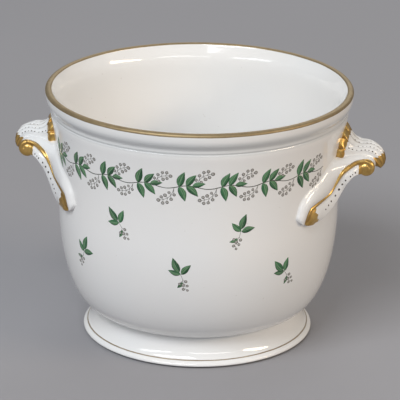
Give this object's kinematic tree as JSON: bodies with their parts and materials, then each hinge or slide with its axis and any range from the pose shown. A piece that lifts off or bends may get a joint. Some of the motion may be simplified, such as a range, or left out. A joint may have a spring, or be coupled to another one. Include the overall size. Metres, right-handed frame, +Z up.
{
  "type": "planter",
  "caption": "Round porcelain planter on a splayed foot, with a flared neck and a moulded lip, and a leaf-topped scroll handle on each side.",
  "frame": {"origin": "on the pot's axis, on the surface that it stands on", "axes": "+Z up along the pot's axis, +X out through the right handle, -Y towards the front"},
  "size_m": [0.2636, 0.216, 0.18],
  "materials": {
    "glazed_porcelain": "white porcelain under a clear, glossy glaze",
    "gilding": "burnished gold fired on the glaze, as a film",
    "painted_enamel": "painted enamel fired on the glaze, slightly raised and glossy",
    "bare_biscuit": "unglazed fired porcelain, matt, where the foot stands"
  },
  "bodies": {
    "root": {"bowl": "glazed_porcelain", "foot_ring": "glazed_porcelain", "right_handle_leaf": "glazed_porcelain", "right_handle_front_scroll": "glazed_porcelain", "right_handle_rear_scroll": "glazed_porcelain", "left_handle_leaf": "glazed_porcelain", "left_handle_front_scroll": "glazed_porcelain", "left_handle_rear_scroll": "glazed_porcelain"}
  },
  "joints": []
}
